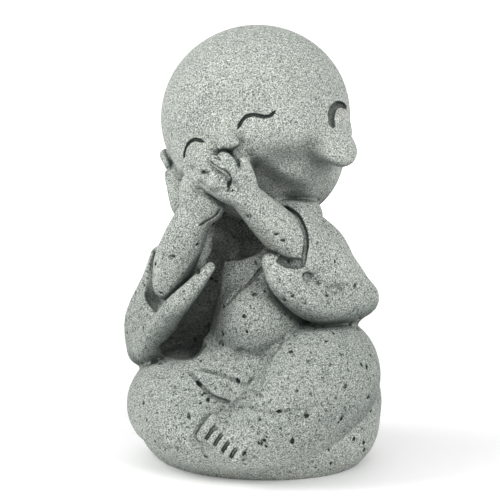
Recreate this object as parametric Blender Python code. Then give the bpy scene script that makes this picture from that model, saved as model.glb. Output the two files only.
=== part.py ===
"""Seated child monk with both hands over the mouth, one casting in volcanic-ash stone.

The figure faces -Y, its left hand is at +X, and its flat underside lies on Z = 0 with
the origin under the middle of the seat. Every form is drawn for a figure 300 units
tall and is scaled to STATUE_HEIGHT, so pose and proportions are shares of the height.
"""

import bmesh
import bpy
import numpy as np
from mathutils import Euler, Matrix, Vector
from mathutils.bvhtree import BVHTree
from math import radians

STATUE_HEIGHT = 0.300
DRAWN_HEIGHT = 300.0
UNIT = STATUE_HEIGHT / DRAWN_HEIGHT

# The head leans towards the figure's right shoulder and tips back a little
HEAD_CENTRE = (2, -5, 238)
HEAD_LEAN = -21
HEAD_TIP_BACK = -9

# Gap between the right sleeve's opening and the forearm in it, in drawn units
SLEEVE_CLEARANCE = 1.8

EYE_LINE_WIDTH = 3.6
EAR_HOLLOW_WIDTH = 5.0
CREASE_WIDTH = 3.6
CUFF_LINE_WIDTH = 3.2
FINGER_LINE_WIDTH = 3.0
TOE_LINE_WIDTH = 2.8

# Finest step of the skins, and how many rounds of softening each one gets
ROBE_GRAIN = 2.0
FINE_GRAIN = 1.0
ROBE_SMOOTHING = 12
HEAD_SMOOTHING = 40
FEATURE_SMOOTHING = 6
TRIANGLES = 9800

# Hands, foot and face keep more of the triangles: centre and reach of each region
DETAIL = [
    ((3, -74, 207), 30),
    ((4, -84, 33), 24),
    ((58, -20, 215), 26),
    ((-50, -20, 190), 26),
    ((-54, -44, 120), 20),
    ((10, -62, 240), 34),
]
DETAIL_SHARE = 0.12

STONE_COLOUR = (0.36, 0.39, 0.365, 1.0)
STONE_ROUGHNESS = 0.93


def frame(origin=(0, 0, 0), tilt=(0, 0, 0)):
    """Matrix of a drawing frame: turned about X, Y and Z in degrees, then moved."""
    turn = Euler([radians(a) for a in tilt]).to_matrix().to_4x4()
    return Matrix.Translation(Vector(origin)) @ turn


BODY = frame()
HEAD = frame(HEAD_CENTRE, (HEAD_TIP_BACK, HEAD_LEAN, 0))


class Clay:
    """Overlapping closed forms, gathered in one mesh until fuse() makes them one skin."""

    def __init__(self, place=BODY):
        self.mesh = bmesh.new()
        self.place = place

    def lump(self, centre, radii, tilt=(0, 0, 0)):
        """Ellipsoid: a ball stretched to the three radii, tilted, then placed."""
        stretch = Matrix.Diagonal((*radii, 1))
        matrix = self.place @ frame(centre, tilt) @ stretch
        bmesh.ops.create_icosphere(self.mesh, subdivisions=4, radius=1, matrix=matrix)

    def limb(self, rows):
        """Round-ended limb: a bevelled curve through rows of x, y, z and radius."""
        curve = bpy.data.curves.new("limb", "CURVE")
        curve.dimensions = "3D"
        curve.bevel_depth = 1
        curve.bevel_resolution = 6
        curve.resolution_u = 8
        curve.use_fill_caps = True
        spline = curve.splines.new("BEZIER")
        spline.bezier_points.add(len(rows) - 1)
        for point, (x, y, z, radius) in zip(spline.bezier_points, rows):
            point.co = (x, y, z)
            point.radius = radius
            point.handle_left_type = "AUTO"
            point.handle_right_type = "AUTO"
        guide = bpy.data.objects.new("limb", curve)
        bpy.context.scene.collection.objects.link(guide)
        tube = baked(guide)
        tube.transform(self.place)
        self.mesh.from_mesh(tube)
        bpy.data.meshes.remove(tube)
        for x, y, z, radius in (rows[0], rows[-1]):
            self.lump((x, y, z), (radius, radius, radius))

    def take(self, mesh):
        """Adds a finished mesh to the clay."""
        self.mesh.from_mesh(mesh)
        bpy.data.meshes.remove(mesh)

    def fuse(self, grain, smoothing):
        """One closed skin over all the forms, with its inner corners softened."""
        mesh = bpy.data.meshes.new("clay")
        self.mesh.to_mesh(mesh)
        self.mesh.free()
        model = bpy.data.objects.new("clay", mesh)
        bpy.context.scene.collection.objects.link(model)
        skin = model.modifiers.new("skin", "REMESH")
        skin.mode = "VOXEL"
        skin.voxel_size = grain
        if smoothing:
            soften = model.modifiers.new("soften", "SMOOTH")
            soften.factor = 0.5
            soften.iterations = round(smoothing)
        return baked(model)


def baked(model):
    """The object's mesh as its modifiers leave it; the object itself is removed."""
    graph = bpy.context.evaluated_depsgraph_get()
    mesh = bpy.data.meshes.new_from_object(model.evaluated_get(graph))
    bpy.data.objects.remove(model)
    return mesh


def carved(mesh, cutters):
    """The mesh with the fused cutters taken out of it."""
    model = bpy.data.objects.new("carved", mesh)
    tool = bpy.data.objects.new("cutter", cutters)
    for item in (model, tool):
        bpy.context.scene.collection.objects.link(item)
    cut = model.modifiers.new("cut", "BOOLEAN")
    cut.operation = "DIFFERENCE"
    cut.solver = "EXACT"
    cut.object = tool
    result = baked(model)
    bpy.data.objects.remove(tool)
    return result


RIGHT_FOREARM = [(-44, -45, 129, 13), (-40, -48, 144, 14.5), (-32, -53, 160, 14), (-24, -57, 175, 12.5)]
LEFT_FOREARM = [(50, -20, 144, 15), (40, -34, 157, 16), (28, -49, 173, 13.5), (15, -62, 192, 10)]


def seat_and_trunk(clay):
    """The robe spread round the hips, the trunk, the chest and the neck."""
    clay.lump((1, 4, 42), (87, 70, 60))
    clay.lump((1, 2, 22), (84, 70, 43))
    clay.lump((0, 10, 110), (54, 42, 66))
    clay.lump((0, 10, 158), (44, 30, 24))
    clay.lump((6, 0, 138), (36, 38, 46))
    clay.limb([(1, 4, 150, 30), (1, 2, 195, 27)])


def belly_and_lap(clay):
    """The round belly and the band of robe drawn across the lap below it."""
    clay.lump((9, -11, 102), (37, 42, 38))
    clay.limb([(12, -15, 136, 22), (2, -16, 116, 25), (-2, -18, 94, 28)])
    clay.limb([(-34, -47, 66, 14), (-8, -52, 60, 13), (18, -51, 62, 12)])


def crossed_legs(clay):
    """The right leg folded flat, and the left knee high with its shin across the front."""
    clay.limb([(-44, 4, 50, 30), (-48, -30, 44, 32), (-40, -44, 40, 31), (-20, -52, 33, 28)])
    knee = [(46, 8, 63, 40), (53, -22, 65, 40), (43, -43, 52, 36.5), (22, -54, 36, 28.5), (4, -60, 27, 20)]
    clay.limb(knee)


def right_sleeve(clay):
    """The wide sleeve that hangs open from the raised right forearm."""
    upper_arm = [(-30, 4, 160, 16), (-46, 0, 146, 18), (-57, -10, 120, 19), (-66, -17, 98, 20)]
    clay.limb(upper_arm + [(-68, -20, 86, 18)])
    clay.limb([(-62, -20, 142, 7), (-68, -20, 120, 9), (-77, -18, 96, 11), (-75, -21, 75, 11)])
    clay.limb([(-34, -30, 130, 6), (-47, -30, 111, 10), (-57, -28, 96, 11)])
    clay.limb([(-68, -28, 80, 9), (-58, -34, 82, 8)])
    clay.limb([(-13, -55, 143, 4), (-25, -57, 128, 6.5), (-40, -56, 111, 8), (-67, -36, 78, 8.5)])
    clay.lump((-56, -32, 105), (17, 19, 26))


def left_sleeve(clay):
    """The left upper arm, the sleeve round the forearm and the flap below it."""
    clay.limb([(30, 4, 162, 16), (46, 4, 150, 17), (54, 3, 134, 18), (60, 0, 118, 21)])
    clay.limb([(60, 0, 120, 22), (53, -16, 139, 22), (46, -26, 152, 20)])
    clay.limb([(32, -6, 174, 13), (41, -18, 175, 12.5), (37, -29, 177, 9.5)])
    clay.limb([(74, 4, 117, 13), (56, -28, 118, 14), (38, -45, 133, 11), (29, -50, 148, 7)])
    clay.limb([(30, -27, 176, 10), (24, -30, 179, 9)])
    rim = [(31, -29, 181, 5), (41, -35, 175, 8), (47, -36, 163, 10)]
    clay.limb(rim + [(48, -36, 151, 10), (42, -42, 145, 8)])


def cuff_line(clay, skin):
    """The dark line where the left forearm goes into its sleeve."""
    line = [(33, -38, 184), (43.6, -40, 177), (50, -44, 166), (50, -45, 155)]
    line += [(48, -46, 147), (40, -50, 146.5), (33, -53, 149)]
    groove(clay, line, CUFF_LINE_WIDTH, skin)


def hollows(clay):
    """What is hollowed out of the robe: the space round the right forearm, the cleft behind
    its elbow, the deep fold beside the chest, and the space under the hands."""
    clay.limb([(x, y, z, radius + SLEEVE_CLEARANCE) for x, y, z, radius in RIGHT_FOREARM])
    clay.limb([(-63, -34, 142, 2.5), (-61, -40, 130, 5), (-57, -43, 119, 6.5), (-51, -48, 113, 4.5)])
    deep_fold = [(-12, -22, 152, 7), (-19, -24, 136, 8.5), (-26, -25, 114, 10.5)]
    clay.limb(deep_fold + [(-36, -27, 96, 12.5), (-43, -28, 91, 11.5)])
    clay.lump((2, -24, 170), (20, 17, 24))


def skull(clay):
    """The bald head: dome, jaw, cheeks and chin."""
    clay.lump((0, 1, 1), (64, 65.5, 61.5))
    clay.lump((0, 4, -26), (55, 49, 40))
    clay.lump((0, -40, -41), (24, 20, 21))
    clay.lump((3, -47, -31), (20, 16.5, 14))
    clay.lump((0, 9, -44), (39, 37, 28))
    for x in (-22, 26):
        clay.lump((x, -29, -24), (31, 32, 26))


def nose(clay):
    """A button nose on a low bridge."""
    clay.limb([(-1.5, -57, -8, 4), (-1.5, -62, -14, 5), (-1, -66, -19, 6.4)])
    for side in (-1, 1):
        clay.lump((-1 + side * 5.5, -64.5, -21), (4.4, 5, 4))


# One ear, drawn for the left side: rolled rim, the fold down to the lobe, and the line of
# the hollow in front of the rim
EAR_RIM = [(56, -27, -14, 2.6), (59, -21, -7.5, 3.2), (61.5, -13, -4.5, 3.6), (62, -6, -10, 4)]
EAR_RIM += [(61.5, -6, -20, 4), (61, -9, -31, 4.4)]
EAR_FOLD = [(57, -17, -22, 7), (57, -22, -34, 8.5)]
EAR_HOLLOW = [(64, -5, -15), (62, -11, -13), (59.5, -18, -15), (57.5, -23, -21), (57, -25, -30)]
# Side, and how far the carver set the upper ear and the lobe towards the left
EARS = [(1, 0, 0), (-1, -4, 1)]


def ears(clay):
    """Two ears, each a plate that flares outwards and back, with a rolled rim and a long lobe."""
    for side, shift, lobe_shift in EARS:
        clay.lump((side * 58 + shift, -15, -24), (5.5, 13, 18), (0, 0, side * -20))
        clay.limb([(side * x + shift, y, z, radius) for x, y, z, radius in EAR_RIM])
        clay.limb([(side * x + shift, y, z, radius) for x, y, z, radius in EAR_FOLD])
        clay.lump((side * 58.5 + lobe_shift, -25, -42.5), (8.5, 15, 12.5), (0, side * -8, side * -20))


def ear_hollows(clay, skin):
    """The curved hollow in front of each ear's rim."""
    for side, shift, _ in EARS:
        groove(clay, [(side * x + shift, y, z) for x, y, z in EAR_HOLLOW], EAR_HOLLOW_WIDTH, skin)


def groove(clay, points, width, skin):
    """A round-bottomed line that follows the skin between points drawn near it."""
    steps = np.linspace(0, len(points) - 1, 4 * len(points) - 3)
    path = np.stack([np.interp(steps, range(len(points)), axis) for axis in zip(*points)], axis=1)
    on_skin = [skin.find_nearest(clay.place @ Vector(point))[0] for point in path]
    back = clay.place.inverted()
    clay.limb([(*(back @ point), width / 2) for point in on_skin])


def eye_lines(clay, skin):
    """Two closed, smiling eyes, each a shallow wave cut into the face."""
    left = [(8, -62, -12.5), (11, -62, -9), (16, -61, -6.5), (21, -60, -7)]
    left += [(26, -59, -10), (30, -57, -11.5), (34, -55, -9)]
    right = [(-17, -61, -12.5), (-22, -60, -9), (-28, -58, -9), (-33, -57, -12), (-36, -56, -17)]
    for line in (left, right):
        groove(clay, line, EYE_LINE_WIDTH, skin)


def right_hand(clay):
    """The hand that lies under the other, with its thumb along the cheek."""
    clay.lump((-16, -61, 187), (15, 11, 15), (0, 25, 0))
    clay.lump((-22, -60, 195), (10, 9, 14), (0, 10, 0))
    clay.limb([(-24, -62, 189, 5), (-22.5, -66, 197, 4.4), (-15, -69, 207, 3.6)])


def left_hand(clay):
    """The hand on top: palm, heel, the curled fingers and the thumb beside the nose."""
    clay.lump((3, -63, 209), (15, 11, 12))
    clay.limb([(15, -62, 193, 9), (5, -66, 197, 9), (-3, -66, 200, 8)])
    clay.lump((-2, -72, 204), (9.5, 7.5, 8.5))
    clay.limb([(18, -65, 199, 5.5), (19.5, -71, 209, 5), (17, -74, 217.5, 4.4)])
    clay.limb([(14.7, -69, 204.5, 5.5), (12.3, -75, 214, 5), (5.5, -76.5, 220, 4.4)])
    clay.limb([(9, -70, 204.5, 5.5), (4.5, -76, 213, 4.8), (-3.5, -76.5, 218, 4.2)])
    clay.limb([(-3, -71, 208, 4.2), (-9.5, -74, 212.5, 3.8)])
    clay.limb([(-6, -71, 203, 4.2), (-13, -74, 206, 3.8)])


def finger_lines(clay, skin):
    """The lines between the fingers, and the long one round the curled ones."""
    curled = [(-7, -79, 214), (-3, -80, 211.5), (3, -80, 210), (9, -80, 207)]
    curled += [(10.5, -79, 203), (10, -77, 199), (7.4, -76, 196.5)]
    between_tips = [(-0.5, -80, 222), (2, -81, 218.5), (7, -80, 215), (12, -79, 209)]
    by_thumb = [(13.5, -79, 213), (15.5, -78, 208), (16.5, -76, 203)]
    small = [(-14, -78, 210), (-9, -79, 208.5), (-5, -79, 206)]
    for line in (curled, between_tips, by_thumb, small):
        groove(clay, line, FINGER_LINE_WIDTH, skin)


FIRST_TOE = (-1, -79, 45.5), (-8, -83, 35)
TOE_STEPS = (4.7, 0, -4.9), (5.7, 0, -3.6)
TOES = 5


def across_toes(place):
    """Root and tip of the toe at that place; halves fall between two toes."""
    return [np.add(end, np.multiply(step, place)) for end, step in zip(FIRST_TOE, TOE_STEPS)]


def left_foot(clay):
    """The end of the foot that shows under the hem, with its five toes side by side."""
    clay.limb([(10, -64, 33, 15), (3, -73, 30, 12)])
    for i in range(TOES):
        root, tip = across_toes(i)
        middle = (root + tip) / 2 + (0, -3, 0)
        radius = 4.4 - 0.2 * i
        clay.limb([(*root, radius), (*middle, radius), (*tip, radius - 0.4)])


def toe_lines(clay, skin):
    """The lines between the toes."""
    for i in range(TOES - 1):
        root, tip = across_toes(i + 0.5)
        line = [(root + tip) / 2 + (0, -5, 0), tip + (0, -5, 0), tip + (-2, -2, -4)]
        groove(clay, line, TOE_LINE_WIDTH, skin)


def creases(clay, skin):
    """Edges and folds of the robe."""
    knee_edge = [(35, -45, 92), (33, -53, 86), (30.5, -58.5, 81)]
    knee_edge += [(29, -70, 70), (18, -74, 58), (6, -72.5, 50)]
    belly_fold = [(-21, -56, 75.5), (-12, -57.5, 73), (-3, -59, 72)]
    belly_fold += [(7, -63, 71), (16, -65, 71), (28, -59, 78.5)]
    shin_edge = [(-26, -61, 72.5), (-11.5, -67, 61), (-4, -67.5, 57), (4.5, -68, 54.5)]
    collar = [(-9, -45.5, 117), (-1, -44, 124), (10, -39, 134), (18, -36, 142)]
    for line in (knee_edge, belly_fold, shin_edge, collar):
        groove(clay, line, CREASE_WIDTH, skin)


def fewer_triangles(mesh, count):
    """The mesh collapsed to about count triangles."""
    mesh.calc_loop_triangles()
    model = bpy.data.objects.new("thinned", mesh)
    bpy.context.scene.collection.objects.link(model)
    thin = model.modifiers.new("thin", "DECIMATE")
    thin.ratio = count / len(mesh.loop_triangles)
    plain = model.vertex_groups.new(name="plain")
    points = np.empty(len(mesh.vertices) * 3)
    mesh.vertices.foreach_get("co", points)
    away = [np.linalg.norm(points.reshape(-1, 3) - centre, axis=1) / reach for centre, reach in DETAIL]
    weights = np.clip(np.min(away, axis=0), DETAIL_SHARE, 1).round(1)
    for weight in np.unique(weights):
        plain.add(np.flatnonzero(weights == weight).tolist(), float(weight), "REPLACE")
    thin.vertex_group = plain.name
    return baked(model)


def connected(first, unseen):
    """All the vertices joined to the first one by edges."""
    skin, ends = [first], [first]
    while ends:
        for edge in ends.pop().link_edges:
            for vert in edge.verts:
                if vert in unseen:
                    unseen.remove(vert)
                    skin.append(vert)
                    ends.append(vert)
    return skin


def outer_skin(mesh):
    """Keeps the largest connected skin, so that no pocket is sealed in the casting."""
    shape = bmesh.new()
    shape.from_mesh(mesh)
    unseen = set(shape.verts)
    skins = []
    while unseen:
        skins.append(connected(unseen.pop(), unseen))
    skins.sort(key=len)
    for skin in skins[:-1]:
        bmesh.ops.delete(shape, geom=skin, context="VERTS")
    return shape


def flat_underside(shape):
    """Cuts the casting off level at Z = 0 and closes the cut."""
    everything = shape.verts[:] + shape.edges[:] + shape.faces[:]
    down = (0, 0, -1)
    bmesh.ops.bisect_plane(shape, geom=everything, plane_co=(0, 0, 0), plane_no=down, clear_outer=True)
    rim = [edge for edge in shape.edges if edge.is_boundary]
    bmesh.ops.holes_fill(shape, edges=rim)
    bmesh.ops.triangulate(shape, faces=shape.faces[:])


def cast_stone():
    """Grey-green cast volcanic ash, dry and matt."""
    stone = bpy.data.materials.new("cast_stone")
    stone.use_nodes = True
    surface = stone.node_tree.nodes["Principled BSDF"]
    surface.inputs["Base Color"].default_value = STONE_COLOUR
    surface.inputs["Roughness"].default_value = STONE_ROUGHNESS
    surface.inputs["Metallic"].default_value = 0.0
    return stone


def modelled():
    """The whole figure in drawn units: robe, hollowed sleeves, limbs and head, carving."""
    robe = Clay()
    for form in (seat_and_trunk, belly_and_lap, crossed_legs, right_sleeve, left_sleeve):
        form(robe)
    space = Clay()
    hollows(space)
    hollowed = carved(robe.fuse(ROBE_GRAIN, ROBE_SMOOTHING), space.fuse(FINE_GRAIN, 0))

    head = Clay(HEAD)
    skull(head)
    features = Clay(HEAD)
    nose(features)
    ears(features)

    figure = Clay()
    figure.take(hollowed)
    figure.take(head.fuse(ROBE_GRAIN, HEAD_SMOOTHING))
    figure.take(features.fuse(FINE_GRAIN, FEATURE_SMOOTHING))
    figure.limb(RIGHT_FOREARM)
    figure.limb(LEFT_FOREARM)
    for form in (right_hand, left_hand, left_foot):
        form(figure)

    surface = figure.fuse(FINE_GRAIN, 2)
    corners = [vertex.co for vertex in surface.vertices]
    skin = BVHTree.FromPolygons(corners, [face.vertices for face in surface.polygons])

    face_lines = Clay(HEAD)
    eye_lines(face_lines, skin)
    ear_hollows(face_lines, skin)
    lines = Clay()
    for form in (creases, cuff_line, finger_lines, toe_lines):
        form(lines, skin)
    lines.take(face_lines.fuse(FINE_GRAIN / 2, 0))
    finished = Clay()
    finished.take(carved(surface, lines.fuse(FINE_GRAIN / 2, 0)))
    return finished.fuse(FINE_GRAIN * 0.9, 0)


def main():
    for item in list(bpy.data.objects):
        bpy.data.objects.remove(item)
    shape = outer_skin(fewer_triangles(modelled(), TRIANGLES))
    flat_underside(shape)
    bmesh.ops.scale(shape, vec=(UNIT, UNIT, UNIT), verts=shape.verts)
    mesh = bpy.data.meshes.new("monk_statue")
    shape.to_mesh(mesh)
    shape.free()
    mesh.shade_smooth()
    mesh.materials.append(cast_stone())
    statue = bpy.data.objects.new("monk_statue", mesh)
    bpy.context.scene.collection.objects.link(statue)


main()
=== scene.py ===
"""Carved surface, speckled stone and plain studio for the seated child monk.

Every form is drawn for a figure 300 units tall, in the same places as in the casting:
the figure faces -Y, its left hand is at +X and it sits on Z = 0.
"""

from math import radians

import bpy
import numpy as np
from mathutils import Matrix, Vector


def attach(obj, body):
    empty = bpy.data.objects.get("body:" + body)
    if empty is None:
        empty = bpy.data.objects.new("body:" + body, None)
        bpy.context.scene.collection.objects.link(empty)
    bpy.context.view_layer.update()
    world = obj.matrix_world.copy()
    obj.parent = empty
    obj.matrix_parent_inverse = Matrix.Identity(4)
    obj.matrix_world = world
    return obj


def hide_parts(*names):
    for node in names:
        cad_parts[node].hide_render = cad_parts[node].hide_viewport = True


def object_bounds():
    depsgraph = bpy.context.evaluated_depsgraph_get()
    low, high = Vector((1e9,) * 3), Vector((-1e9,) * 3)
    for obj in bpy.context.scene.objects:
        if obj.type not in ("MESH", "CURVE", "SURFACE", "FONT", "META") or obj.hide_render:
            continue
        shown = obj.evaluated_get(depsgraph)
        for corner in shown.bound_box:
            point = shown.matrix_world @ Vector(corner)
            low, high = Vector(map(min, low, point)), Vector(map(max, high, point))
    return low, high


bl_info = {
    "name": "Seated child monk",
    "version": (1, 0, 0),
    "blender": (4, 5, 0),
    "location": "3D View > Sidebar > Monk",
    "description": "Carved surface, cast stone and studio for a seated child monk",
    "category": "Object",
}

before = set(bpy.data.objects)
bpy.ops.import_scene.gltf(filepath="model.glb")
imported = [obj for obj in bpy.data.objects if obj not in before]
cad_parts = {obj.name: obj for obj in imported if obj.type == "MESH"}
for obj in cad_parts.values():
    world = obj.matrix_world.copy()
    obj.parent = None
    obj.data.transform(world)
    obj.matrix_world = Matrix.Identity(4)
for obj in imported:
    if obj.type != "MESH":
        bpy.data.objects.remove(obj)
CAD_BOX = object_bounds()
DRAWN_HEIGHT = 300.0
STATUE_HEIGHT = CAD_BOX[1].z - CAD_BOX[0].z

# The head leans towards the figure's right shoulder and tips back a little
HEAD_CENTRE = (2, -5, 238)
HEAD_TURN = (-9, -21, 0)

# The box of the clay in drawn units, how far round a form it keeps true distances, and the
# distance that it holds where no form is near
CLAY_LOW = (-100, -100, -8)
CLAY_HIGH = (102, 90, 312)
REACH = 9.0
FAR = 50.0

# A point settles on the surface in a few moves, each no longer than the step
SETTLE_MOVES = 8
SETTLE_STEP = 3

# A carved line has this many points on each span. It starts at a share of its width and
# swells towards its middle.
LINE_SPAN = 6
LINE_TIP = 0.45
LINE_SWELL = 2.4
# The depth of a line on the hands, as a share of its width
FINGER_LINE_DEPTH = 0.85

# How far the right sleeve stands off its forearm, and how softly the head joins the body
ARM_CLEARANCE = 1.8
NECK_CREASE = 2.0

TRIANGLE_LIMIT = 196000

# These keep a division away from zero
TINY = 1e-9
LEAST_SLOPE = 1e-6


def turning(tilt):
    """Rotation matrix for turns in degrees about X, then Y, then Z: the product Rz Ry Rx."""
    a, b, c = np.radians(tilt)
    about_x = np.array([[1, 0, 0], [0, np.cos(a), -np.sin(a)], [0, np.sin(a), np.cos(a)]])
    about_y = np.array([[np.cos(b), 0, np.sin(b)], [0, 1, 0], [-np.sin(b), 0, np.cos(b)]])
    about_z = np.array([[np.cos(c), -np.sin(c), 0], [np.sin(c), np.cos(c), 0], [0, 0, 1]])
    return about_z @ about_y @ about_x


class Place:
    """A drawing frame: an origin and three turned axes."""

    def __init__(self, origin=(0, 0, 0), tilt=(0, 0, 0)):
        self.origin = np.array(origin, float)
        self.axes = turning(tilt)

    def out(self, points):
        """Points of this frame in the figure's frame: the axes times the point, plus the origin."""
        return np.asarray(points, float) @ self.axes.T + self.origin


BODY = Place()
HEAD = Place(HEAD_CENTRE, HEAD_TURN)


def smooth_path(rows, per_span):
    """Catmull-Rom curve: each span is the cubic through its two rows whose end slopes are
    half the difference between the rows on either side."""
    rows = np.asarray(rows, float)
    padded = np.vstack([2 * rows[0] - rows[1], rows, 2 * rows[-1] - rows[-2]])
    before, start, end, after = padded[:-3], padded[1:-2], padded[2:-1], padded[3:]
    t = (np.arange(per_span) / per_span)[None, :, None]
    before, start, end, after = (row[:, None, :] for row in (before, start, end, after))
    curve = 2 * start + (end - before) * t
    curve = curve + (2 * before - 5 * start + 4 * end - after) * t ** 2
    curve = curve + (3 * start - before - 3 * end + after) * t ** 3
    return np.vstack([curve.reshape(-1, rows.shape[1]) / 2, rows[-1:]])


def smooth_min(a, b, width):
    """The lower of a and b, rounded off where they differ by less than width: the lower one
    minus width / 4 times the square of (1 - difference / width)."""
    if width <= 0:
        return np.minimum(a, b)
    overlap = np.maximum(width - np.abs(a - b), 0) / width
    return np.minimum(a, b) - overlap * overlap * width / 4


class Clay:
    """Distance to the surface at every point of a cubic grid, negative inside."""

    def __init__(self, low, high, step):
        self.low = np.array(low, float)
        self.step = step
        counts = np.ceil((np.array(high) - self.low) / step).astype(int) + 1
        self.field = np.full(counts, FAR, np.float32)

    def block(self, low, high):
        """Slices of the grid that cover a box, and the places of their points on each axis."""
        first = np.maximum(np.floor((low - self.low) / self.step).astype(int), 0)
        last = np.minimum(np.ceil((high - self.low) / self.step).astype(int) + 1, self.field.shape)
        last = np.maximum(last, first)
        cut = tuple(slice(a, b) for a, b in zip(first, last))
        axes = [self.low[i] + self.step * np.arange(first[i], last[i]) for i in range(3)]
        x, y, z = (axis.astype(np.float32) for axis in axes)
        return cut, x[:, None, None], y[None, :, None], z[None, None, :]

    def join(self, cut, distance, width, carve):
        """Adds a form to the clay: the smooth minimum of both distances. Carving takes it out:
        minus the smooth minimum of the clay's negative distance and the form's."""
        if carve:
            self.field[cut] = -smooth_min(-self.field[cut], distance, width)
        else:
            self.field[cut] = smooth_min(self.field[cut], distance, width)

    def lump(self, centre, radii, tilt=(0, 0, 0), width=4.0, place=BODY, carve=False):
        """Ellipsoid. With q the point in its own axes, its distance is about n (n - 1) / m,
        n being the length of q / radii and m that of q / radii squared."""
        middle = place.out(centre)
        axes = place.axes @ turning(tilt)
        radii = np.array(radii, float)
        reach = np.sqrt(((axes * radii) ** 2).sum(axis=1)) + max(width, REACH)
        cut, x, y, z = self.block(middle - reach, middle + reach)
        near, slope = TINY, TINY
        for axis, radius in zip(axes.T, radii):
            along = (x - middle[0]) * axis[0] + (y - middle[1]) * axis[1]
            along = along + (z - middle[2]) * axis[2]
            near = near + (along / radius) ** 2
            slope = slope + (along / radius ** 2) ** 2
        near = np.sqrt(near)
        self.join(cut, near * (near - 1) / np.sqrt(slope), width, carve)

    def limb(self, rows, width=4.0, place=BODY, carve=False, per_span=5):
        """Chain of round cones along a smooth path through rows of x, y, z and radius. The
        distance to one cone is that to its axis less the radius there, and the chain takes
        the least of them."""
        path = smooth_path(rows, per_span)
        points, radii = place.out(path[:, :3]), path[:, 3]
        reach = max(width, REACH)
        grow = radii.max() + reach
        whole, *_ = self.block(points.min(axis=0) - grow, points.max(axis=0) + grow)
        nearest = np.full(self.field[whole].shape, FAR, np.float32)
        start = np.array([part.start for part in whole])
        for a, b, ra, rb in zip(points[:-1], points[1:], radii[:-1], radii[1:]):
            grow = max(ra, rb) + reach
            cut, x, y, z = self.block(np.minimum(a, b) - grow, np.maximum(a, b) + grow)
            here = tuple(slice(part.start - s, part.stop - s) for part, s in zip(cut, start))
            span = b - a
            length = max(span @ span, TINY)
            x, y, z = x - a[0], y - a[1], z - a[2]
            along = x * span[0] + y * span[1] + z * span[2]
            t = np.clip(along / length, 0, 1)
            away = np.sqrt(np.maximum(x * x + y * y + z * z - 2 * t * along + t * t * length, 0))
            nearest[here] = np.minimum(nearest[here], away - ra - t * (rb - ra))
        self.join(whole, nearest, width, carve)

    def at(self, points):
        """The distance at any points: the eight grid values round each, mixed by nearness."""
        place = (np.asarray(points, float) - self.low) / self.step
        corner = np.clip(np.floor(place).astype(int), 0, np.array(self.field.shape) - 2)
        share = place - corner
        total = 0
        for offset in np.ndindex(2, 2, 2):
            weight = np.where(offset, share, 1 - share).prod(axis=-1)
            total = total + weight * self.field[tuple((corner + offset).T)]
        return total

    def slope(self, points):
        """Unit outward direction: the difference of the distances one step to either side."""
        steps = np.eye(3) * self.step
        lean = np.stack([self.at(points + s) - self.at(points - s) for s in steps], axis=-1)
        return lean / np.maximum(np.linalg.norm(lean, axis=-1, keepdims=True), LEAST_SLOPE)

    def settle(self, points):
        """Moves points onto the surface: each goes back along the slope by its distance."""
        for _ in range(SETTLE_MOVES):
            away = np.clip(self.at(points), -SETTLE_STEP, SETTLE_STEP)
            points = points - self.slope(points) * away[:, None]
        return points

    def line(self, points, width, depth, place=BODY, soft=1.0):
        """A line that follows the surface, cut to a depth and narrower at both ends: its centre
        is the smooth path on the surface, moved outwards by half the width less the depth."""
        path = self.settle(place.out(smooth_path(points, LINE_SPAN)))
        path = path + self.slope(path) * (width / 2 - depth)
        fade = np.minimum(1, LINE_TIP + LINE_SWELL * np.sin(np.linspace(0, np.pi, len(path))))
        rows = np.column_stack([path, width / 2 * fade])
        self.limb(rows, soft, carve=True, per_span=1)


RIGHT_FOREARM = [(-44, -45, 129, 13), (-40, -48, 144, 14.5)]
RIGHT_FOREARM += [(-32, -53, 160, 14), (-24, -57, 175, 12.5)]
LEFT_FOREARM = [(50, -20, 144, 15), (41, -33, 157, 16), (29, -48, 173, 13.5), (16, -61, 191, 10.5)]


def robe(clay):
    """Robe over the hips, trunk and chest, with the neck and the band across the lap."""
    clay.lump((1, 4, 42), (87, 70, 60), width=6)
    clay.lump((1, 2, 22), (84, 70, 42), width=8)
    clay.lump((0, 10, 110), (54, 42, 66), width=14)
    clay.lump((0, 10, 158), (44, 30, 24), width=14)
    clay.lump((6, 2, 138), (34, 36, 46), width=14)
    neck = [(1, 4, 150, 30), (1, 2, 195, 27)]
    lap_band = [(-33, -47, 61, 14), (-8, -52, 59, 13), (18, -49, 61, 11)]
    clay.limb(neck, width=10)
    clay.limb(lap_band, width=6)


def belly(clay):
    """Round belly and robed chest, crisp against the shade beside the right sleeve."""
    clay.lump((13, -11, 102), (35, 42, 38), width=3)
    clay.limb([(19, -15, 129, 20), (9, -16, 114, 24), (5, -18, 94, 28)], width=3)


def legs(clay):
    """Right leg folded flat, left knee high with its shin across the front."""
    right = [(-44, 4, 50, 30), (-48, -30, 44, 32), (-40, -44, 40, 31), (-20, -52, 33, 28)]
    left = [(46, 8, 63, 40), (53, -22, 65, 40), (43, -43, 52, 36.5)]
    left += [(22, -54, 36, 28.5), (4, -60, 27, 20)]
    clay.limb(right, width=5)
    clay.limb(left, width=2)


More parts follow.
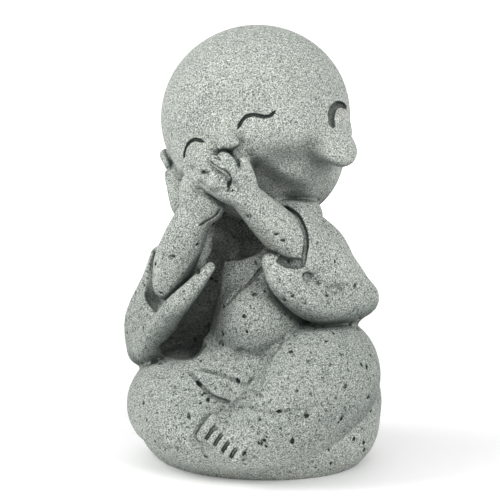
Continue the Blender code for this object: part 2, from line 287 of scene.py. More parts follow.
def right_sleeve(clay):
    """Wide sleeve that hangs open from the raised right forearm."""
    upper_arm = [(-30, 4, 160, 16), (-46, 0, 146, 18), (-57, -10, 120, 19)]
    upper_arm += [(-66, -17, 98, 20), (-68, -20, 86, 18)]
    outer_edge = [(-62, -20, 142, 7), (-68, -20, 120, 9), (-77, -18, 96, 11), (-75, -21, 75, 11)]
    inner_side = [(-34, -30, 130, 6), (-47, -30, 111, 10), (-57, -28, 96, 11)]
    bottom = [(-68, -28, 80, 9), (-58, -34, 82, 8)]
    front_edge = [(-13, -54, 143, 3.5), (-25, -57, 128, 6), (-40, -56, 111, 8), (-67, -36, 78, 8.5)]
    parts = ((upper_arm, 8), (outer_edge, 5), (inner_side, 6), (bottom, 6), (front_edge, 7))
    for rows, width in parts:
        clay.limb(rows, width)
    clay.lump((-56, -31, 105), (16, 18, 26), width=6)


def left_sleeve(clay):
    """Left upper arm, the sleeve round the forearm and the flap below it."""
    upper_arm = [(30, 4, 162, 16), (46, 4, 150, 17), (54, 3, 134, 18), (60, 0, 118, 21)]
    elbow = [(60, 0, 120, 22), (53, -16, 139, 22), (46, -26, 152, 20)]
    shoulder = [(32, -6, 174, 13), (41, -18, 175, 12.5), (37, -29, 177, 9.5)]
    flap = [(74, 4, 117, 13), (56, -28, 118, 14), (38, -45, 133, 11), (29, -50, 148, 7)]
    tuck = [(30, -27, 176, 10), (24, -30, 179, 9)]
    rim = [(31, -29, 181, 5), (41, -35, 175, 8), (47, -36, 163, 10), (48, -36, 151, 10)]
    rim += [(42, -42, 145, 8)]
    parts = ((upper_arm, 8), (elbow, 5), (shoulder, 5), (flap, 3), (tuck, 5), (rim, 5))
    for rows, width in parts:
        clay.limb(rows, width)


def sleeve_hollows(clay):
    """Space round the right forearm, the cleft behind its elbow, the deep shade between the
    right sleeve and the belly, and the hollow under the hands."""
    round_arm = [(x, y, z, radius + ARM_CLEARANCE) for x, y, z, radius in RIGHT_FOREARM]
    cleft = [(-62.5, -27, 147, 3.5), (-62.5, -28, 138, 5), (-62, -33, 129, 6.5)]
    cleft += [(-57, -42, 119, 7), (-51, -48, 113, 4.5)]
    behind_elbow = [(-61, -32, 128, 5), (-55, -36, 118, 6)]
    deep_shade = [(-12, -22, 152, 7), (-19, -24, 136, 8.5), (-26, -25, 114, 10.5)]
    deep_shade += [(-37, -26, 93, 13.5), (-46, -26, 80, 15)]
    shade_foot = [(-46, -40, 84, 9), (-32, -40, 83.5, 8.5)]
    parts = ((round_arm, 1.5), (cleft, 2), (behind_elbow, 3), (deep_shade, 3), (shade_foot, 3))
    for rows, width in parts:
        clay.limb(rows, width, carve=True)
    clay.lump((2, -24, 170), (20, 17, 24), width=3, carve=True)
    under_hands = [(-14, -28, 155, 10), (-2, -32, 154, 9), (10, -34, 158, 8)]
    clay.limb(under_hands, width=3, carve=True)


def head(clay):
    """Bald head: dome, jaw, chin, nape, cheeks and a button nose, with hollows at the brow
    and a recess under the left cheek."""
    clay.lump((0, 1, 1), (64, 65.5, 61.5), width=8, place=HEAD)
    clay.lump((0, 4, -26), (54, 48, 40), width=10, place=HEAD)
    clay.lump((-4, -40, -38), (13, 19, 16), width=6, place=HEAD)
    clay.lump((-2, -46, -31), (11, 16, 13), width=5, place=HEAD)
    clay.lump((0, 12, -44), (39, 34, 28), width=10, place=HEAD)
    for x in (-20, 26):
        clay.lump((x, -29, -20), (30, 31, 20.5), width=6, place=HEAD)
    for side in (-1, 1):
        clay.lump((side * 9 - 1.5, -72.5, -3), (8, 8.5, 10), width=12, place=HEAD, carve=True)
    clay.lump((-1.5, -73, 7), (8, 6, 9), width=12, place=HEAD, carve=True)
    under_cheek = [(21, -61, 204, 11), (30, -50, 192, 13), (41, -38, 184, 13)]
    clay.limb(under_cheek, width=7, carve=True)
    nose = [(-0.5, -57, -8, 4), (-0.5, -61, -14, 4.6), (0.4, -65, -19.5, 5.6)]
    clay.limb(nose, width=5, place=HEAD)
    for side in (-1, 1):
        clay.lump((0.2 + side * 4.2, -63.5, -21.2), (3.4, 4.4, 3.2), width=1.5, place=HEAD)


# Each ear as drawn for the left side: x, y, z and radius in the head's frame
EAR_RIM = [(56, -27, -14, 2.6), (59, -21, -7.5, 3.2), (61.5, -13, -4.5, 3.6)]
EAR_RIM += [(62, -6, -10, 4), (61.5, -6, -20, 4), (61, -9, -31, 4.4)]
EAR_FOLD = [(57, -18, -22, 6), (53, -26.5, -29, 8), (50, -28, -38, 9)]
EAR_HOLLOW = [(64, -5, -15), (62, -11, -13), (59.5, -18, -15), (58, -23.5, -21), (56, -29, -30)]
# The side of each ear, and how far it is set in
EARS = ((1, 0), (-1, -4))


def ear_rows(rows, side, shift):
    """The rows on one side of the head: x times the side, plus the shift."""
    return [(side * x + shift, *rest) for x, *rest in rows]


def ears(clay):
    """Two ears, each a plate that flares outwards and back, with a rolled rim, a deep hollow
    in front and a long lobe."""
    for side, shift in EARS:
        plate_turn = (0, 0, side * -20)
        lobe_turn = (0, side * -8, side * -20)
        plate = (side * 58 + shift, -15, -24)
        lobe = (side * 58.5 - shift / 4, -25, -42.5)
        clay.lump(plate, (5.5, 13, 18), plate_turn, width=5, place=HEAD)
        clay.limb(ear_rows(EAR_RIM, side, shift), width=2, place=HEAD)
        clay.limb(ear_rows(EAR_FOLD, side, shift), width=6, place=HEAD)
        clay.lump(lobe, (8.5, 15, 12.5), lobe_turn, width=7, place=HEAD)
        width = 5.0 + shift / 4
        depth = 4.5 + shift * 0.7
        clay.line(ear_rows(EAR_HOLLOW, side, shift), width, depth, HEAD)


def hands(clay):
    """Right hand beneath, and the left one over it with its fingers curled on the mouth."""
    clay.lump((-16, -58, 187), (15, 11, 15), tilt=(0, 25, 0), width=3)
    clay.lump((-22, -60, 195), (10, 9, 14), tilt=(0, 10, 0), width=4)
    clay.limb([(-24, -62, 189, 5), (-22.5, -66, 197, 4.4), (-15, -68, 206, 3.6)], width=3)
    clay.lump((4, -62, 207), (15, 11, 12), width=4)
    clay.limb([(15, -63, 193, 9), (5, -67, 197.5, 9), (-4, -68, 201, 7.5)], width=1.5)
    clay.lump((-10, -66, 205), (9, 7, 8), width=4)
    clay.lump((-0.8, -71, 204), (8.4, 8.5, 8), width=1.5)
    clay.lump((-8, -65, 216), (9, 8, 7), width=4)
    clay.limb([(15, -66, 203, 5), (14, -67.5, 214, 4.5)], width=3)
    thumb = [(19, -65, 198, 5.5), (18.8, -69, 208, 4.4), (17, -72.5, 217, 3.6)]
    first = [(16, -66, 199, 6), (13, -72, 207, 5), (9.6, -75, 214, 4.8), (4.8, -75.5, 219.4, 4.4)]
    second = [(13, -68, 202, 5), (9, -73, 209.5, 4.4)]
    second += [(3.5, -75.5, 214.5, 4), (-2.2, -75.5, 217.6, 3.6)]
    third = [(-1, -72, 209.5, 4.2), (-7.5, -73.5, 213, 3.8)]
    fourth = [(-4, -71.5, 203.5, 4.2), (-11.5, -73.5, 206.5, 3.6)]
    for finger in (thumb, first, second, third, fourth):
        clay.limb(finger, width=1.4)


# The first toe's root and tip, and the way from each toe to the next
TOE_ROOT = np.array([-1, -79, 45.5])
TOE_TIP = np.array([-8, -82, 35])
ROOT_STEP = np.array([4.7, 0, -4.9])
TIP_STEP = np.array([5.7, 0, -3.6])
TOES = 5
TOE_RADIUS = 4.3
TOE_TAPER = 0.2
TOE_ARCH = (0, -2.4, 0)


def foot(clay):
    """End of the left foot below the hem, with its five toes side by side."""
    clay.limb([(10, -64, 33, 15), (3, -73, 30, 12)], width=3)
    for i in range(TOES):
        root, tip = TOE_ROOT + ROOT_STEP * i, TOE_TIP + TIP_STEP * i
        middle = (root + tip) / 2 + TOE_ARCH
        radius = TOE_RADIUS - TOE_TAPER * i
        clay.limb([(*root, radius), (*middle, radius), (*tip, radius)], width=1.4)


def toe_lines(clay):
    """The short dark lines between the toes."""
    for i in range(TOES - 1):
        root, tip = TOE_ROOT + ROOT_STEP * (i + 0.5), TOE_TIP + TIP_STEP * (i + 0.5)
        middle = (root + tip) / 2
        path = [root + (0, -5, 0), middle + (0, -6, 0), tip + (0, -5, 0)]
        clay.line(path, width=2.0, depth=1.2)


def drapery_lines(clay):
    """Edges of the robe, cut crisp, and its broad folds, pressed in softly."""
    knee_edge = [(35, -45, 92), (33, -53, 86), (30.5, -58.5, 81), (29, -70, 70), (18, -74, 58)]
    knee_edge += [(6, -72.5, 50)]
    beside_knee = np.array(knee_edge[1:]) - (7.5, 0, 1)
    shin_edge = [(-28, -59.5, 74), (-25, -61, 72), (-11.5, -67, 61)]
    shin_edge += [(-4, -67.5, 57), (4.5, -68, 54.5)]
    band = [(-21, -56, 75.5), (-12, -57.5, 73), (-3, -59, 72), (7, -63, 71), (16, -65, 71)]
    band += [(28, -59, 78.5)]
    collar = [(-9, -45.5, 117), (-1, -44, 124), (10, -39, 134), (18, -36, 142)]
    cuff = [(33, -38, 184), (43.6, -40, 177), (50, -44, 166), (50, -45, 155), (48, -46, 147)]
    cuff += [(40, -50, 146.5), (33, -53, 149)]
    under_arm = [(34, -53, 149), (40, -49, 148), (47, -47, 149)]
    # Each edge with its width, its depth and how soft its corners are
    edges = [
        (beside_knee, 14, 6.5, 2), (knee_edge, 2.4, 1.5, 1.5), (shin_edge, 2.4, 1.5, 1.5),
        (band, 2.4, 1.5, 1.2), (collar, 2.4, 1.5, 1.2), (cuff, 3.0, 2.3, 1.5),
        (under_arm, 5, 3.6, 1.5),
    ]
    for points, width, depth, soft in edges:
        clay.line(points, width, depth, soft=soft)
    under_cuff = [(52, -45, 139.5), (57, -45, 134), (64, -42, 129.5), (77, -25, 129)]
    navel = [(-11, -52, 86.5), (-5.5, -52, 84.5), (1.6, -52, 84), (8.7, -52, 85.5)]
    knee_fold = [(23, -78, 54), (33.6, -78, 52), (44, -78, 52), (57.6, -78, 55), (69, -72, 59)]
    shin_fold = [(49.5, -78, 46.4), (55.6, -78, 49), (61.7, -78, 51.2)]
    right_fold = [(-59.5, -48, 25.8), (-43.8, -60, 25.3), (-27, -68, 26.8)]
    for fold in (under_cuff, navel, knee_fold, shin_fold, right_fold):
        clay.line(fold, width=4.5, depth=1.0, soft=3)


def face_lines(clay):
    """Two closed, smiling eyes, each a shallow wave cut into the face."""
    left = [(8.4, -62, -13.5), (11.6, -62, -10), (16.6, -61, -7.7), (21.6, -60, -8.2)]
    left += [(26.6, -59, -11), (30.8, -57, -12.2), (34.6, -55, -9.6)]
    right = [(-17, -61, -13.5), (-22.3, -60, -10.2), (-28.5, -58, -10.2), (-33.6, -57, -13.2)]
    right += [(-36.8, -56, -18.4)]
    for line in (left, right):
        clay.line(line, width=2.2, depth=2.0, place=HEAD, soft=0.6)


def finger_lines(clay):
    """Lines between the fingers and across the right wrist."""
    curled = [(-4.6, -79, 221.5), (-4.2, -79, 217.6), (-1.6, -79, 215.4), (1.8, -79, 213.6)]
    curled += [(5.2, -79, 212), (8, -79, 210.5), (9, -79, 207.8), (9, -79, 202.7)]
    curled += [(8.8, -79, 199.2), (6.6, -79, 197.2)]
    under_first = [(-0.9, -79, 221), (1.5, -79, 219.8), (4.2, -79, 218)]
    by_thumb = [(14.2, -77, 219.5), (15, -77, 216.5), (16.2, -76, 212)]
    small = [(-12.5, -77, 210), (-8.5, -77, 209.5), (-5.5, -78, 207.8)]
    wrist = [(-17, -65, 173.5), (-11, -68, 172.5), (-4.5, -68, 175)]
    wrist += [(0.5, -67, 178.5), (5, -66, 184)]
    lines = ((curled, 1.6), (under_first, 1.4), (by_thumb, 1.0), (small, 1.0), (wrist, 1.8))
    for line, width in lines:
        clay.line(line, width, width * FINGER_LINE_DEPTH, soft=0.5)


# The larger pits at the front: x, y, z and size
SEEN_PITS = [
    (56, -62, 72.7, 2.0), (80, -35, 76, 2.2), (47, -66, 76, 1.4), (76, -50, 67.5, 1.5),
    (44, -80, 56, 1.8), (65, -45, 96.6, 1.3), (82.5, -38, 65, 1.2), (-68, -45, 52.6, 1.2),
    (-56, -55, 44, 1.3), (-63, -50, 22.4, 1.6), (41.4, -52, 129.4, 1.5), (-41, -56, 99, 1.4),
]
# The other pits: their least size and how much larger they grow, the level below which there
# are none, the level of the chin, and the share and scale of the pits above it
PIT_SIZE = 0.7
PIT_GROWTH = 1.1
PIT_FLOOR = 6
CHIN_LEVEL = 185
HEAD_PIT_SHARE = 0.15
HEAD_PIT_SCALE = 0.6
# They start on grid points this close to the surface, in steps of the grid
PIT_NEARNESS = 0.3
# Each pit is a few lumps near one another: how far apart, and their radii, in sizes
PIT_LUMPS = 3
PIT_SPREAD = 0.8
PIT_RADII = (0.4, 1.0)
PIT_CORNER = 0.4


def pits(clay, count, seed):
    """Open pits: small tilted ellipsoids sunk in the surface at random, few on the head. A
    pit's size is the least size plus the growth times the cube of a random share."""
    dice = np.random.default_rng(seed)
    near = np.argwhere(np.abs(clay.field) < clay.step * PIT_NEARNESS)
    points = clay.low + clay.step * near[dice.integers(0, len(near), count)]
    share = np.where(points[:, 2] > CHIN_LEVEL, HEAD_PIT_SHARE, 1)
    scale = np.where(points[:, 2] > CHIN_LEVEL, HEAD_PIT_SCALE, 1)
    keep = (points[:, 2] > PIT_FLOOR) & (dice.random(count) < share)
    sizes = (PIT_SIZE + PIT_GROWTH * dice.random(count) ** 3) * scale
    points = np.vstack([points[keep], clay.settle(np.array(SEEN_PITS)[:, :3])])
    sizes = np.concatenate([sizes[keep], np.array(SEEN_PITS)[:, 3]])
    for point, size in zip(points, sizes):
        for _ in range(PIT_LUMPS):
            nearby = point + size * dice.uniform(-PIT_SPREAD, PIT_SPREAD, 3)
            radii = size * dice.uniform(*PIT_RADII, 3)
            clay.lump(nearby, radii, dice.uniform(0, 180, 3), PIT_CORNER, carve=True)


def surface_net(clay):
    """Corners and four-sided faces of the zero surface. Each grid cell that the surface
    crosses gets one corner, at the mean of the crossings on its edges, and each grid edge
    that is crossed gets one face through the four cells round it."""
    field = clay.field
    inside = field < 0
    counts = [n - 1 for n in field.shape]
    filled = np.zeros(counts, np.uint8)
    for offset in np.ndindex(2, 2, 2):
        filled += inside[tuple(slice(o, o + n) for o, n in zip(offset, counts))]
    crossed = (filled > 0) & (filled < 8)
    cells = np.argwhere(crossed)
    number = np.full(crossed.shape, -1, np.int32)
    number[crossed] = np.arange(len(cells))
    total, hits = np.zeros((len(cells), 3)), np.zeros(len(cells))
    for axis in range(3):
        others = [i for i in range(3) if i != axis]
        for u, v in np.ndindex(2, 2):
            start = np.zeros(3, int)
            start[others] = u, v
            end = start.copy()
            end[axis] = 1
            a, b = field[tuple((cells + start).T)], field[tuple((cells + end).T)]
            hit = (a < 0) != (b < 0)
            t = np.where(hit, a / np.where(hit, a - b, 1), 0)
            here = np.repeat(start[None].astype(float), len(cells), axis=0)
            here[:, axis] += t
            total += here * hit[:, None]
            hits += hit
    corners = clay.low + clay.step * (cells + total / hits[:, None])
    faces = []
    for axis, (u, v) in enumerate([(1, 2), (2, 0), (0, 1)]):
        below, above = [slice(None)] * 3, [slice(None)] * 3
        below[axis], above[axis] = slice(0, -1), slice(1, None)
        for other in (u, v):
            below[other] = above[other] = slice(1, -1)
        lower, upper = inside[tuple(below)], inside[tuple(above)]
        at = np.argwhere(lower != upper)
        leaving = lower[tuple(at.T)]
        at[:, [u, v]] += 1
        ring = []
        for du, dv in ((-1, -1), (0, -1), (0, 0), (-1, 0)):
            cell = at.copy()
            cell[:, u] += du
            cell[:, v] += dv
            ring.append(number[tuple(cell.T)])
        ring = np.stack(ring, axis=1)
        ring[~leaving] = ring[~leaving][:, ::-1]
        faces.append(ring)
    return corners, np.vstack(faces)


def modelled(step, pit_count, seed):
    """The whole figure as clay, on a grid of that step."""
    clay, top = (Clay(CLAY_LOW, CLAY_HIGH, step) for _ in range(2))
    for form in (robe, right_sleeve, sleeve_hollows, legs, left_sleeve, belly):
        form(clay)
    for form in (head, ears):
        form(top)
    clay.field = smooth_min(clay.field, top.field, NECK_CREASE)
    clay.limb(RIGHT_FOREARM, width=1)
    clay.limb(LEFT_FOREARM, width=1)
    for form in (hands, foot, face_lines, finger_lines, toe_lines, drapery_lines):
        form(clay)
    pits(clay, pit_count, seed)
    heights = clay.low[2] + step * np.arange(clay.field.shape[2])
    clay.field = np.maximum(clay.field, -heights.astype(np.float32))
    return clay


def baked(model):
    """The object's mesh as its modifiers leave it; the object itself is removed."""
    graph = bpy.context.evaluated_depsgraph_get()
    mesh = bpy.data.meshes.new_from_object(model.evaluated_get(graph))
    bpy.data.objects.remove(model)
    return mesh


def thinned(corners, faces, limit):
    """Mesh of the faces, collapsed to the triangle limit."""
    mesh = bpy.data.meshes.new("figure")
    mesh.from_pydata(corners, [], faces)
    model = bpy.data.objects.new("figure", mesh)
    bpy.context.scene.collection.objects.link(model)
    if 2 * len(faces) > limit:
        thin = model.modifiers.new("thin", "DECIMATE")
        thin.ratio = limit / (2 * len(faces))
    return baked(model)


# Directions on each ring of the sky, the heights of the rings in degrees, how far a look
# starts above the surface, and the places on its way, in drawn units
SKY_TURNS = 12
SKY_HEIGHTS = (5, 14, 23, 32, 42, 53, 65, 80)
SKY_START = 2
SKY_STEPS = (3, 5, 8, 12, 17, 23, 30, 40, 52, 68, 90)

# How far outwards each kind of hollow is measured, in drawn units
HOLLOW_REACHES = (("cuts", 2.0), ("folds", 6.0))


def sky_share(clay, points, outwards):
    """How much of the light of an even sky reaches each point. The sky is a ring of
    directions at each of a few heights; a direction counts by its slant to the surface, and
    not at all where a point on the way lies in the clay. Open ground facing up has 1."""
    last = np.array(clay.field.shape) - 1
    total, whole = np.zeros(len(points)), 0.0
    for height in np.radians(SKY_HEIGHTS):
        for turn in np.arange(SKY_TURNS) * 2 * np.pi / SKY_TURNS + height:
            level = np.cos(height)
            way = np.array([level * np.cos(turn), level * np.sin(turn), np.sin(height)])
            clear = np.ones(len(points), bool)
            for step in SKY_STEPS:
                spot = points + SKY_START * outwards + step * way
                cell = np.rint((spot - clay.low) / clay.step).astype(int)
                beyond = ((cell < 0) | (cell > last)).any(axis=1)
                cell = np.clip(cell, 0, last)
                clear &= beyond | (clay.field[tuple(cell.T)] > 0)
            total += clear * np.maximum(outwards @ way, 0) * level
            whole += way[2] * level
    return total / whole


def store(mesh, name, values):
    """Keeps one number for each vertex of the mesh under a name."""
    attribute = mesh.attributes.new(name, "FLOAT", "POINT")
    attribute.data.foreach_set("value", values.astype(np.float32))


def mark_hollows(mesh, clay):
    """Stores the share of the sky at each vertex, and how closed in it is: one minus the
    distance to the surface a little way outwards, over that way, for a near and a wider
    reach."""
    points = np.empty(len(mesh.vertices) * 3)
    mesh.vertices.foreach_get("co", points)
    points = points.reshape(-1, 3)
    outwards = clay.slope(points)
    for name, reach in HOLLOW_REACHES:
        open_share = clay.at(points + outwards * reach) / reach
        store(mesh, name, np.clip(1 - open_share, 0, 1))
    store(mesh, "sky", sky_share(clay, points, outwards))


class Value:
    """A shader socket on which sums, differences and products add their own nodes."""

    def __init__(self, recipe, socket):
        self.recipe = recipe
        self.socket = socket

    def maths(self, operation, *values):
        """The result of one sum, difference or product."""
        return self.recipe.node("Math", {"operation": operation}, values)

    def __add__(self, other):
        return self.maths("ADD", self, other)

    def __sub__(self, other):
        return self.maths("SUBTRACT", self, other)

    def __rsub__(self, other):
        return self.maths("SUBTRACT", other, self)

    def __mul__(self, other):
        return self.maths("MULTIPLY", self, other)

    def above(self, edge, width):
        """0 below the edge and 1 above it, with a smooth step of that width between."""
        settings = {"interpolation_type": "SMOOTHSTEP"}
        values = (self, edge - width / 2, edge + width / 2, 0, 1)
        return self.recipe.node("MapRange", settings, values)

    __radd__ = __add__
    __rmul__ = __mul__


class Recipe:
    """Node tree of one material, built from expressions."""

    def __init__(self, name):
        self.material = bpy.data.materials.new(name)
        self.material.use_nodes = True
        self.tree = self.material.node_tree
        self.shader = self.tree.nodes["Principled BSDF"]

    def node(self, kind, settings=None, values=(), output=0):
        """Adds a node, sets it up and fills its input sockets, by place or by name."""
        node = self.tree.nodes.new("ShaderNode" + kind)
        for key, setting in (settings or {}).items():
            setattr(node, key, setting)
        pairs = values.items() if isinstance(values, dict) else enumerate(values)
        for key, value in pairs:
            if isinstance(value, Value):
                self.tree.links.new(value.socket, node.inputs[key])
            else:
                node.inputs[key].default_value = value
        return Value(self, node.outputs[output])

    def mix(self, share, first, second):
        """Colour between two colours; share 0 gives the first."""
        node = self.tree.nodes.new("ShaderNodeMix")
        node.data_type = "RGBA"
        for key, value in (("Factor_Float", share), ("A_Color", first), ("B_Color", second)):
            socket = next(item for item in node.inputs if item.identifier == key)
            if isinstance(value, Value):
                self.tree.links.new(value.socket, socket)
            else:
                socket.default_value = value
        result = next(item for item in node.outputs if item.identifier == "Result_Color")
        return Value(self, result)

    def attribute(self, name):
        """The number that the mesh keeps under that name."""
        return self.node("Attribute", {"attribute_name": name}, output=2)

    def feed(self, name, value):
        """Leads a value into an input of the surface."""
        self.tree.links.new(value.socket, self.shader.inputs[name])


# Noise in cells per metre, with its detail and roughness. Where two more numbers follow, it
# is cut into grains: 0 below the first and 1 above it, over a width of the second.
BLOTCHES = (28, 4, 0.6, 0.5, 0.5)
PASTE = (1300, 3, 0.7, 0.5, 0.12)
PALE_GRAINS = (1050, 2, 0.6, 0.60, 0.06)
DARK_GRAINS = (820, 2, 0.6, 0.59, 0.06)
PORES = (400, 2, 0.6, 0.64, 0.03)
RELIEF = (520, 4, 0.7)
# Chips in cells per metre, how far they reach from the middle of a cell, and that edge's width
CHIPS = (420, 0.18, 0.08)

# Levels on the stone in metres, and the width over which each one takes effect
CHIN = (0.185, 0.04)
LAP_TOP = (0.125, 0.04)
LAP_FOOT = (0.04, 0.03)
# Below this level the painted shade in sheltered places fades out
SHADE_FOOT = (0.03, 0.03)

# Edge and width of the steps on what the mesh keeps of its hollows, used for painted shade
CUT_EDGE = (0.55, 0.6)
FOLD_EDGE = (0.5, 0.6)
OPEN_SKY = (0.5, 0.3)
SHELTER_SHADE_EDGE = (0.26, 0.38)

# How strongly each layer covers the stone
BLOTCH_COVER = 0.25
GRAIN_COVER = 0.85
CHIP_COVER = 0.5
PORE_COVER = 0.8
# Painted shade: the lap, fold and shelter layers, and the cut layer together with some grime
LAP_SHADE_BASE = 0.24
LAP_SHADE_COVER = 0.25
CUT_COVER = 0.7
FOLD_COVER = 0.65
SHELTER_SHADE_COVER = 0.7

# The surface: its roughness and what the paste adds to it, how much it mirrors, and how far
# grains and pores stand out of it
ROUGHNESS = 0.86
PASTE_ROUGHNESS = 0.1
MIRRORING = 0.25
BUMP_STRENGTH = 0.55
BUMP_DISTANCE = 0.0009
PALE_HEIGHT = 0.5
DARK_DEPTH = 0.8
PORE_DEPTH = 1.2


def stone_material(look):
    """Dry cast volcanic stone: paste with pale and dark grains, open pores below the head, and
    painted shade on the lap and in cuts, folds and sheltered places, with some grime in the cuts."""
    stone = Recipe("speckled_cast_stone")
    place = stone.node("TexCoord", output=3)

    def noise(scale, detail, rough):
        values = {"Vector": place, "Scale": scale, "Detail": detail, "Roughness": rough}
        return stone.node("TexNoise", None, values)

    def grains(scale, detail, rough, edge, width):
        return noise(scale, detail, rough).above(edge, width)

    def chips(scale, edge, width):
        values = {"Vector": place, "Scale": scale, "Randomness": 1.0}
        return 1 - stone.node("TexVoronoi", None, values).above(edge, width)

    paste, pale, dark = grains(*PASTE), grains(*PALE_GRAINS), grains(*DARK_GRAINS)
    level = stone.node("SeparateXYZ", None, (place,), 2)
    pores = grains(*PORES) * (1 - level.above(*CHIN))
    colour = stone.mix(paste, (*look.shade, 1), (*look.colour, 1))
    colour = stone.mix(grains(*BLOTCHES) * BLOTCH_COVER, colour, (*look.warm, 1))
    colour = stone.mix(dark * GRAIN_COVER, colour, (*look.dark_grain_and_shade, 1))
    colour = stone.mix(pale * GRAIN_COVER, colour, (*look.pale_grain, 1))
    colour = stone.mix(chips(*CHIPS) * CHIP_COVER, colour, (*look.pale_grain, 1))
    # Painted shade: the lap and legs are darker, and more so where less of the sky reaches them
    sky = stone.attribute("sky")
    lap = (1 - level.above(*LAP_TOP)) * level.above(*LAP_FOOT)
    lap_shade = lap * (LAP_SHADE_BASE + LAP_SHADE_COVER * (1 - sky.above(*OPEN_SKY)))
    colour = stone.mix(lap_shade + pores * PORE_COVER, colour, (*look.dark_grain_and_shade, 1))
    # Painted shade: cuts and folds are darkened where shade falls in them, with some real grime in
    # the narrow cuts
    cuts, folds = stone.attribute("cuts"), stone.attribute("folds")
    crease_shade_and_grime = cuts.above(*CUT_EDGE) * CUT_COVER + folds.above(*FOLD_EDGE) * FOLD_COVER
    colour = stone.mix(crease_shade_and_grime, colour, (*look.shade_and_grime_colour, 1))
    # Painted shade: places that little of the sky reaches, such as under the jaw, are darkened,
    # fading out at the foot
    sheltered = (1 - sky.above(*SHELTER_SHADE_EDGE)) * level.above(*SHADE_FOOT)
    colour = stone.mix(sheltered * SHELTER_SHADE_COVER, colour, (*look.shade_and_grime_colour, 1))
    stone.feed("Base Color", colour)
    stone.feed("Roughness", ROUGHNESS + PASTE_ROUGHNESS * paste)
    height = noise(*RELIEF) + PALE_HEIGHT * pale - DARK_DEPTH * dark - PORE_DEPTH * pores
    relief = {"Strength": BUMP_STRENGTH, "Distance": BUMP_DISTANCE, "Height": height}
    stone.feed("Normal", stone.node("Bump", None, relief))
    stone.shader.inputs["Specular IOR Level"].default_value = MIRRORING
    return stone.material


class MonkLook(bpy.types.PropertyGroup):
    """Colours and fineness of the carved figure."""

    step: bpy.props.FloatProperty(
        name="Step", description="Spacing of the modelling grid, in drawn units",
        default=0.8, min=0.6, max=4)
    pit_count: bpy.props.IntProperty(
        name="Pits", description="Open pits tried over the whole surface", default=2600, min=0)
    seed: bpy.props.IntProperty(name="Seed", description="Changes where the pits fall", default=4)
    colour: bpy.props.FloatVectorProperty(
        name="Stone", description="Colour of the stone paste",
        subtype="COLOR", default=(0.52, 0.56, 0.51))
    shade: bpy.props.FloatVectorProperty(
        name="Shade", description="Darker parts of the paste",
        subtype="COLOR", default=(0.13, 0.15, 0.135))
    warm: bpy.props.FloatVectorProperty(
        name="Blotches", description="Broad paler patches",
        subtype="COLOR", default=(0.50, 0.52, 0.46))
    pale_grain: bpy.props.FloatVectorProperty(
        name="Pale grains", description="Light mineral grains",
        subtype="COLOR", default=(0.80, 0.82, 0.79))
    # This colour also paints the shade on the lap and legs
    dark_grain_and_shade: bpy.props.FloatVectorProperty(
        name="Dark grains", description="Dark grains and pores",
        subtype="COLOR", default=(0.08, 0.10, 0.09))
    # Painted shade: this colour darkens sheltered places, folds and cuts where shade falls, with
    # some real grime in the narrow cuts and pits
    shade_and_grime_colour: bpy.props.FloatVectorProperty(
        name="Dust", description="Dark dust in cuts, pits, folds and sheltered places",
        subtype="COLOR", default=(0.035, 0.045, 0.04))


class StudioLook(bpy.types.PropertyGroup):
    """Light, floor and camera."""

    overhead: bpy.props.FloatProperty(
        name="Overhead light", description="Strength of the broad light from above", default=1.72)
    side_power: bpy.props.FloatProperty(
        name="Side lights", description="Power of the soft box at each side",
        default=12.0, unit="POWER")
    backdrop_power: bpy.props.FloatProperty(
        name="Backdrop light", description="Power of the box that faces the backdrop",
        default=90.0, unit="POWER")
    sky: bpy.props.FloatProperty(
        name="Surround", description="Strength of the even white surround", default=0.2)
    floor_colour: bpy.props.FloatVectorProperty(
        name="Floor", description="Colour of the floor",
        subtype="COLOR", default=(0.92, 0.92, 0.92))
    lens: bpy.props.FloatProperty(
        name="Lens", description="Focal length in millimetres", default=144.0)


class OBJECT_OT_carved_monk(bpy.types.Operator):
    """Models the figure in clay and gives it the finish of cast stone"""

    bl_idname = "object.carved_monk"
    bl_label = "Carved monk"

    def execute(self, context):
        look = context.scene.monk_look
        coarsening = 1
        clay = modelled(look.step * coarsening, look.pit_count, look.seed)
        mesh = thinned(*surface_net(clay), TRIANGLE_LIMIT)
        mark_hollows(mesh, clay)
        points = np.empty(len(mesh.vertices) * 3, np.float32)
        mesh.vertices.foreach_get("co", points)
        mesh.vertices.foreach_set("co", points * (STATUE_HEIGHT / DRAWN_HEIGHT))
        mesh.update()
        mesh.shade_smooth()
        mesh.materials.append(stone_material(look))
        monk = bpy.data.objects.new("carved_monk", mesh)
        context.scene.collection.objects.link(monk)
        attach(monk, "root")
        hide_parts("monk_statue")
        return {"FINISHED"}


# The floor in metres: how far it reaches to the front and sides, where it bends upwards and
# how tightly, and the top of the backdrop
FLOOR_REACH = 12.0
BEND_START = 3.0
BEND_RADIUS = 1.5
BEND_POINTS = 17
BACKDROP_TOP = 6.0
FLOOR_COLUMNS = 5
FLOOR_ROUGHNESS = 0.9

# The turns of the broad light and the angle that it fills, in degrees
OVERHEAD_TURN = (28, -10, 0)
OVERHEAD_ANGLE = 90
# Name, place, aim and size in metres of each soft box
BOXES = (
    ("left box", (-1.05, -0.6, 0.95), (0, 0, 0.22), 0.8),
    ("right box", (1.1, -0.6, 0.95), (0, 0, 0.22), 0.8),
    ("backdrop box", (0, 1.2, 2.0), (0, 4.5, 0.6), 2.0),
)

# The camera's place and target in metres, and the width of its sensor in millimetres
CAMERA_PLACE = (0.4375, -1.2810, 0.3851)
CAMERA_TARGET = (-0.0114, 0.0226, 0.1420)
SENSOR_WIDTH = 36


def aimed(place, target):
    """Turns that point a light or camera from its place at a target."""
    return (Vector(target) - Vector(place)).to_track_quat("-Z", "Y").to_euler()


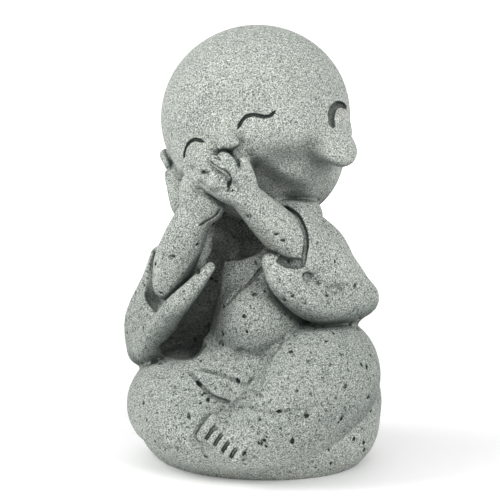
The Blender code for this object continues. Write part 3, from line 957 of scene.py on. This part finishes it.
class SCENE_OT_studio(bpy.types.Operator):
    """Lays the pale floor and sets the lights and the camera"""

    bl_idname = "scene.monk_studio"
    bl_label = "Studio"

    def execute(self, context):
        look = context.scene.studio_look
        self.floor(context, look)
        self.lights(context, look)
        self.camera(context, look)
        return {"FINISHED"}

    def floor(self, context, look):
        """Flat floor that curves up into a backdrop far behind: the profile is level up to
        the bend, then a quarter circle, then upright, carried straight along X."""
        angle = np.linspace(0, np.pi / 2, BEND_POINTS)
        bend = BEND_START + BEND_RADIUS * np.sin(angle)
        y = np.concatenate([[-FLOOR_REACH], bend, [BEND_START + BEND_RADIUS]])
        z = np.concatenate([[0.0], BEND_RADIUS * (1 - np.cos(angle)), [BACKDROP_TOP]])
        x = np.linspace(-FLOOR_REACH, FLOOR_REACH, FLOOR_COLUMNS)
        row = len(x)
        corners = np.stack([np.tile(x, len(y)), np.repeat(y, row), np.repeat(z, row)], axis=1)
        first = (np.arange(len(y) - 1)[:, None] * row + np.arange(row - 1)).ravel()
        faces = np.stack([first, first + 1, first + row + 1, first + row], axis=1)
        mesh = bpy.data.meshes.new("floor")
        mesh.from_pydata(corners, [], faces)
        mesh.shade_smooth()
        plain = Recipe("pale_floor")
        plain.shader.inputs["Base Color"].default_value = (*look.floor_colour, 1)
        plain.shader.inputs["Roughness"].default_value = FLOOR_ROUGHNESS
        mesh.materials.append(plain.material)
        floor = bpy.data.objects.new("floor", mesh)
        context.scene.collection.objects.link(floor)

    def lights(self, context, look):
        """Dim white surround, a broad soft light from above and in front, a soft box at each
        side and one that faces the backdrop."""
        world = bpy.data.worlds.new("surround")
        world.use_nodes = True
        background = world.node_tree.nodes["Background"]
        background.inputs["Color"].default_value = (1, 1, 1, 1)
        background.inputs["Strength"].default_value = look.sky
        context.scene.world = world
        lamp = bpy.data.lights.new("overhead", "SUN")
        lamp.energy = look.overhead
        lamp.angle = radians(OVERHEAD_ANGLE)
        overhead = bpy.data.objects.new("overhead", lamp)
        overhead.rotation_euler = [radians(turn) for turn in OVERHEAD_TURN]
        context.scene.collection.objects.link(overhead)
        powers = (look.side_power, look.side_power, look.backdrop_power)
        for (name, place, target, size), power in zip(BOXES, powers):
            lamp = bpy.data.lights.new(name, "AREA")
            lamp.energy = power
            lamp.size = size
            box = bpy.data.objects.new(name, lamp)
            box.location = place
            box.rotation_euler = aimed(place, target)
            context.scene.collection.objects.link(box)

    def camera(self, context, look):
        """Camera a little to the figure's left and ten degrees above it."""
        lens = bpy.data.cameras.new("camera")
        lens.lens = look.lens
        lens.sensor_width = SENSOR_WIDTH
        camera = bpy.data.objects.new("camera", lens)
        camera.location = CAMERA_PLACE
        camera.rotation_euler = aimed(CAMERA_PLACE, CAMERA_TARGET)
        context.scene.collection.objects.link(camera)
        context.scene.camera = camera
        context.scene.view_settings.view_transform = "Standard"


class VIEW3D_PT_monk(bpy.types.Panel):
    """Lists the steps and their values"""

    bl_label = "Seated monk"
    bl_idname = "VIEW3D_PT_monk"
    bl_space_type = "VIEW_3D"
    bl_region_type = "UI"
    bl_category = "Monk"

    def draw(self, context):
        figure = (context.scene.monk_look, OBJECT_OT_carved_monk)
        studio = (context.scene.studio_look, SCENE_OT_studio)
        for group, step in (figure, studio):
            box = self.layout.box()
            for name in group.__annotations__:
                box.prop(group, name)
            box.operator(step.bl_idname)


CLASSES = (MonkLook, StudioLook, OBJECT_OT_carved_monk, SCENE_OT_studio, VIEW3D_PT_monk)


def register():
    for item in CLASSES:
        bpy.utils.register_class(item)
    bpy.types.Scene.monk_look = bpy.props.PointerProperty(type=MonkLook)
    bpy.types.Scene.studio_look = bpy.props.PointerProperty(type=StudioLook)


def unregister():
    del bpy.types.Scene.studio_look
    del bpy.types.Scene.monk_look
    for item in reversed(CLASSES):
        bpy.utils.unregister_class(item)


def main():
    register()
    bpy.ops.object.carved_monk()
    bpy.ops.scene.monk_studio()


if __name__ == "__main__":
    main()
